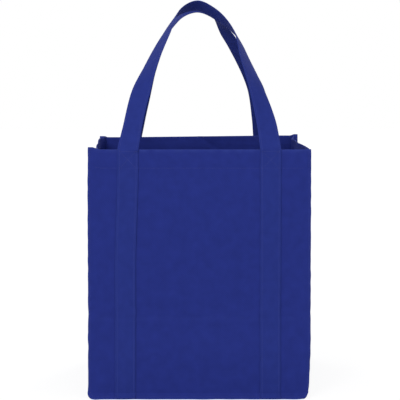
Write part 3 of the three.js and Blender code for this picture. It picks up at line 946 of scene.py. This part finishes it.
frontFeet = (-handle["footX"] - 0.1, handle["footX"])
backFeet = (-handle["footX"], handle["footX"] + handle["backOutset"])
turnedPaths = [(turnRound(spots), turnRound(faces)) for spots, faces in panelStitches(backShape, backFeet)]
threads = [
    sewRows("frontPanelStitches", panelStitches(frontShape, frontFeet), 3),
    sewRows("backPanelStitches", turnedPaths, 4),
    sewRows("gussetStitches", gussetStitches(), 5),
    sewRows("frontHandleStitches", strapStitches(frontRoute, frontWide), 6),
    sewRows("backHandleStitches", strapStitches(backRoute, backWide), 7),
]
print("stitches", [len(piece.data.polygons) for piece in threads])

board = {"pale": "#24262f", "dark": "#1d1f27", "scratch": "#343742", "roughness": 0.5, "scuffRoughness": 0.7}


# Extruded polypropylene sheet: a waxy half-matt plastic with fine scuffs along its length
def extrudedSheet(name, finish):
    material, tree, shader = newMaterial(name)
    place = addNode(tree, "ShaderNodeTexCoord").outputs["Object"]
    drawn = addNode(tree, "ShaderNodeMapping", {"Vector": place, "Scale": (12, 700, 700)})
    scuff = addNode(tree, "ShaderNodeTexNoise", {"Vector": drawn, "Scale": 1, "Detail": 3})
    grain = addNode(tree, "ShaderNodeTexNoise", {"Vector": place, "Scale": 900, "Detail": 2})
    lines = addNode(tree, "ShaderNodeMapRange",
                    {"Value": scuff.outputs["Fac"], "From Min": 0.58, "From Max": 0.8})
    base = addNode(tree, "ShaderNodeMix",
                   {0: grain.outputs["Fac"], 6: linear(finish["dark"]), 7: linear(finish["pale"])},
                   data_type="RGBA")
    hue = addNode(tree, "ShaderNodeMix", {0: lines, 6: base.outputs[2], 7: linear(finish["scratch"])},
                  data_type="RGBA")
    rough = addNode(tree, "ShaderNodeMapRange",
                    {"Value": lines, "To Min": finish["roughness"], "To Max": finish["scuffRoughness"]})
    bump = addNode(tree, "ShaderNodeBump",
                   {"Height": grain.outputs["Fac"], "Strength": 0.15, "Distance": 0.0003})
    feed(tree, shader, {"Base Color": hue.outputs[2], "Roughness": rough, "Normal": bump, "IOR": 1.49})
    return material


baseBoard = bpy.data.objects["base_board"]
boardFinish = extrudedSheet("extrudedPolypropyleneSheet", board)
if not baseBoard.material_slots:
    baseBoard.data.materials.append(boardFinish)
for materialSlot in baseBoard.material_slots:
    materialSlot.material = boardFinish

# What rides on the frame and what each piece stands for
sheets = [
    (frontPanel, "front_panel", "cloth", (0.332, 0.414), "stretched"),
    (backPanel, "back_panel", "cloth", (0.332, 0.414), "stretched"),
    (gussetStrip, "gusset_strip", "cloth", (0.266, 1.132), "folded"),
    (frontHandle, "front_handle", "strap", (0.031, 1.323), "folded"),
    (backHandle, "back_handle", "strap", (0.031, 1.317), "folded"),
]
for piece, node, slot, flat, held in sheets:
    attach(piece, "root")
    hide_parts(node)
for piece in threads:
    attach(piece, "root")
print("pieces ride on the frame")

studio = {
    "world": 0.77,
    "floorLevel": -0.6,  # millimetres, just under the lowest cloth
    "floorPaint": (0.6, 0.6, 0.6, 1),
    "floorGlow": 1.215,
    "floorShare": 0.7,  # of the glow in what the camera sees of the floor; the rest is paint with the shadow
    "lamps": {  # place and aim in metres, width in metres, power in watts
        "keyLamp": ((-2.6, -4.8, 3.4), (0, 0, 0.3), 2.0, 88.0),
        "frontLamp": ((-0.3, -5.6, 1.3), (0, 0, 0.35), 1.6, 58.0),
        "backLamp": ((2.6, 4.8, 3.4), (0, 0, 0.3), 2.0, 80.0),
        "backSideLamp": ((-3.4, 3.4, 2.4), (0, 0, 0.35), 2.0, 35.0),
    },
}
white = (1, 1, 1, 1)


# One for rays from the camera and in reflections, where floor and world show white, and none for other light
def whiteToCamera(tree):
    rays = addNode(tree, "ShaderNodeLightPath").outputs
    both = addNode(tree, "ShaderNodeMath", {0: rays["Is Camera Ray"], 1: rays["Is Glossy Ray"]},
                   operation="MAXIMUM")
    return addNode(tree, "ShaderNodeMath", {0: both, 1: rays["Is Transmission Ray"]}, operation="MAXIMUM")


world = bpy.data.worlds.new("studioWorld")
bpy.context.scene.world = world
world.use_nodes = True
skyTree = world.node_tree
skyTree.nodes.clear()
soft = addNode(skyTree, "ShaderNodeBackground", {"Color": white, "Strength": studio["world"]})
plain = addNode(skyTree, "ShaderNodeBackground", {"Color": white, "Strength": 1.0})
sky = addNode(skyTree, "ShaderNodeMixShader", {0: whiteToCamera(skyTree), 1: soft, 2: plain})
addNode(skyTree, "ShaderNodeOutputWorld", {0: sky})

floorPlan = [(-4000, -4000), (4000, -4000), (4000, 6000), (-4000, 6000)]
floor = makeObject("studioFloor", [(x, y, studio["floorLevel"]) for x, y in floorPlan], [(0, 1, 2, 3)])
floorPaint, floorTree, _ = newMaterial("matWhitePaint")
floorTree.nodes.clear()
paint = addNode(floorTree, "ShaderNodeBsdfDiffuse", {"Color": studio["floorPaint"]})
glow = addNode(floorTree, "ShaderNodeEmission", {"Color": white, "Strength": studio["floorGlow"]})
seen = addNode(floorTree, "ShaderNodeMath", {0: whiteToCamera(floorTree), 1: studio["floorShare"]},
               operation="MULTIPLY")
ground = addNode(floorTree, "ShaderNodeMixShader", {0: seen, 1: paint, 2: glow})
addNode(floorTree, "ShaderNodeOutputMaterial", {0: ground})
floor.data.materials.append(floorPaint)

for name, (place, aim, size, power) in studio["lamps"].items():
    lamp = bpy.data.lights.new(name, "AREA")
    lamp.shape = "DISK"
    lamp.size = size
    lamp.energy = power
    light = addObject(name, lamp)
    light.location = place
    light.rotation_euler = (Vector(aim) - Vector(place)).to_track_quat("-Z", "Y").to_euler()

view = {"lens": 110.8, "sensor": 36.0, "place": (0.001, -1.957, 0.533), "tilt": 82.9}
camera = addObject("photoCamera", bpy.data.cameras.new("photoCamera"))
camera.data.lens = view["lens"]
camera.data.sensor_width = view["sensor"]
camera.location = view["place"]
camera.rotation_euler = (np.radians(view["tilt"]), 0, 0)
bpy.context.scene.camera = camera
bpy.context.scene.view_settings.view_transform = "Standard"
